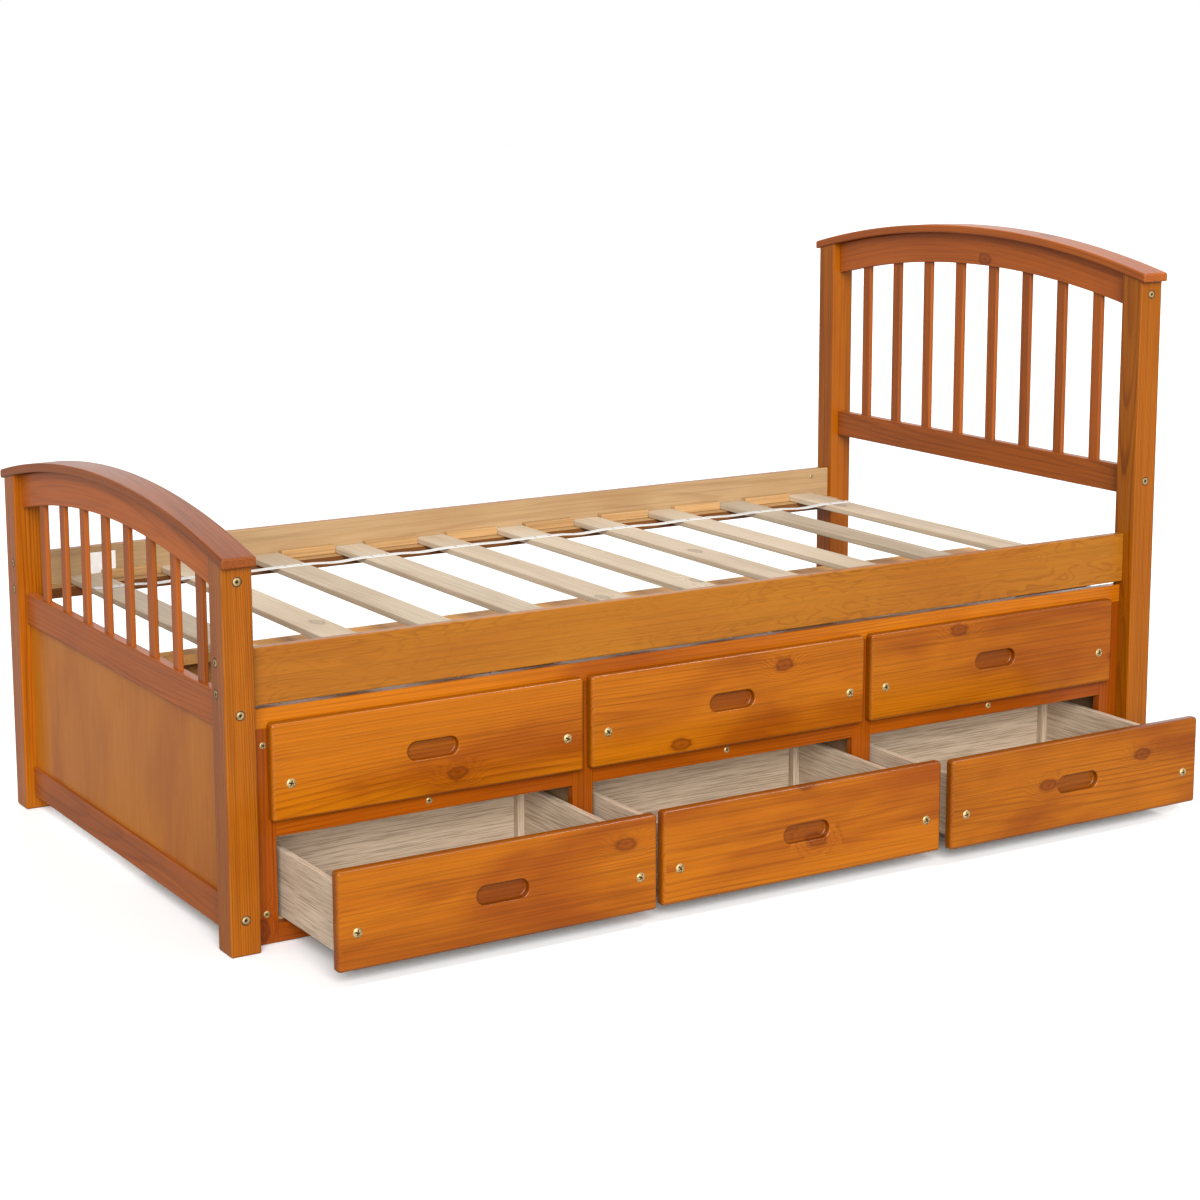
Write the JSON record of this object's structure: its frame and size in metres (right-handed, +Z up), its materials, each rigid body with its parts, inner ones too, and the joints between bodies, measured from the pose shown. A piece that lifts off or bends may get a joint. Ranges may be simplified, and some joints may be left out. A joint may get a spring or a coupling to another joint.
{
  "type": "platform bed with storage drawers",
  "caption": "Twin platform bed in stained pine with arched, spindled head and foot boards, a slatted base, and storage drawers with routed finger pulls along one side.",
  "frame": {"origin": "on the floor, under the middle of the bounding box of the bed as it stands with its lower drawers pulled out", "axes": "+X from the footboard to the headboard, -Y towards the drawer side, +Z up"},
  "size_m": [2.0476, 1.3064, 1.109],
  "materials": {
    "stained_pine": "honey stain under satin lacquer",
    "stained_panel": "stained plywood, satin lacquer",
    "stained_rail": "stained plywood, satin lacquer, lighter inside",
    "raw_wood": "planed, unfinished",
    "laminate": "printed wood-grain foil, matt",
    "webbing": "woven polypropylene webbing"
  },
  "bodies": {
    "bed_frame": {"foot_post_near": "stained_pine", "foot_post_far": "stained_pine", "foot_cap_rail": "stained_pine", "foot_arch_rail": "stained_pine", "foot_mid_rail": "stained_pine", "foot_spindle_1": "stained_pine", "foot_spindle_2": "stained_pine", "foot_spindle_3": "stained_pine", "foot_spindle_4": "stained_pine", "foot_spindle_5": "stained_pine", "foot_spindle_6": "stained_pine", "foot_spindle_7": "stained_pine", "foot_spindle_8": "stained_pine", "head_post_near": "stained_pine", "head_post_far": "stained_pine", "head_cap_rail": "stained_pine", "head_arch_rail": "stained_pine", "head_mid_rail": "stained_pine", "head_spindle_1": "stained_pine", "head_spindle_2": "stained_pine", "head_spindle_3": "stained_pine", "head_spindle_4": "stained_pine", "head_spindle_5": "stained_pine", "head_spindle_6": "stained_pine", "head_spindle_7": "stained_pine", "head_spindle_8": "stained_pine", "foot_bottom_rail": "stained_pine", "foot_panel": "stained_panel", "side_rail_near": "stained_rail", "slat_strap_near": "webbing", "side_rail_far": "stained_rail", "slat_strap_far": "webbing", "slat_01": "raw_wood", "slat_02": "raw_wood", "slat_03": "raw_wood", "slat_04": "raw_wood", "slat_05": "raw_wood", "slat_06": "raw_wood", "slat_07": "raw_wood", "slat_08": "raw_wood", "slat_09": "raw_wood", "slat_10": "raw_wood", "cabinet_face_frame": "stained_pine", "cabinet_end_foot": "laminate", "cabinet_end_head": "laminate", "cabinet_divider_1": "laminate", "cabinet_divider_2": "laminate", "cabinet_back": "raw_wood"},
    "drawer_lower_1": {"drawer_front_lower_1": "stained_pine", "drawer_box_lower_1": "laminate"},
    "drawer_lower_2": {"drawer_front_lower_2": "stained_pine", "drawer_box_lower_2": "laminate"},
    "drawer_lower_3": {"drawer_front_lower_3": "stained_pine", "drawer_box_lower_3": "laminate"},
    "drawer_upper_1": {"drawer_front_upper_1": "stained_pine", "drawer_box_upper_1": "laminate"},
    "drawer_upper_2": {"drawer_front_upper_2": "stained_pine", "drawer_box_upper_2": "laminate"},
    "drawer_upper_3": {"drawer_front_upper_3": "stained_pine", "drawer_box_upper_3": "laminate"}
  },
  "joints": [
    {"name": "drawer_lower_1_slide", "type": "slide", "parent": "bed_frame", "child": "drawer_lower_1", "axis": [0, -1, 0], "range_m": [-0.2407, 0.0593]},
    {"name": "drawer_lower_2_slide", "type": "slide", "parent": "bed_frame", "child": "drawer_lower_2", "axis": [0, -1, 0], "range_m": [-0.2343, 0.0657]},
    {"name": "drawer_lower_3_slide", "type": "slide", "parent": "bed_frame", "child": "drawer_lower_3", "axis": [0, -1, 0], "range_m": [-0.2458, 0.0542]},
    {"name": "drawer_upper_1_slide", "type": "slide", "parent": "bed_frame", "child": "drawer_upper_1", "axis": [0, -1, 0], "range_m": [0, 0.3]},
    {"name": "drawer_upper_2_slide", "type": "slide", "parent": "bed_frame", "child": "drawer_upper_2", "axis": [0, -1, 0], "range_m": [0, 0.3]},
    {"name": "drawer_upper_3_slide", "type": "slide", "parent": "bed_frame", "child": "drawer_upper_3", "axis": [0, -1, 0], "range_m": [0, 0.3]}
  ]
}
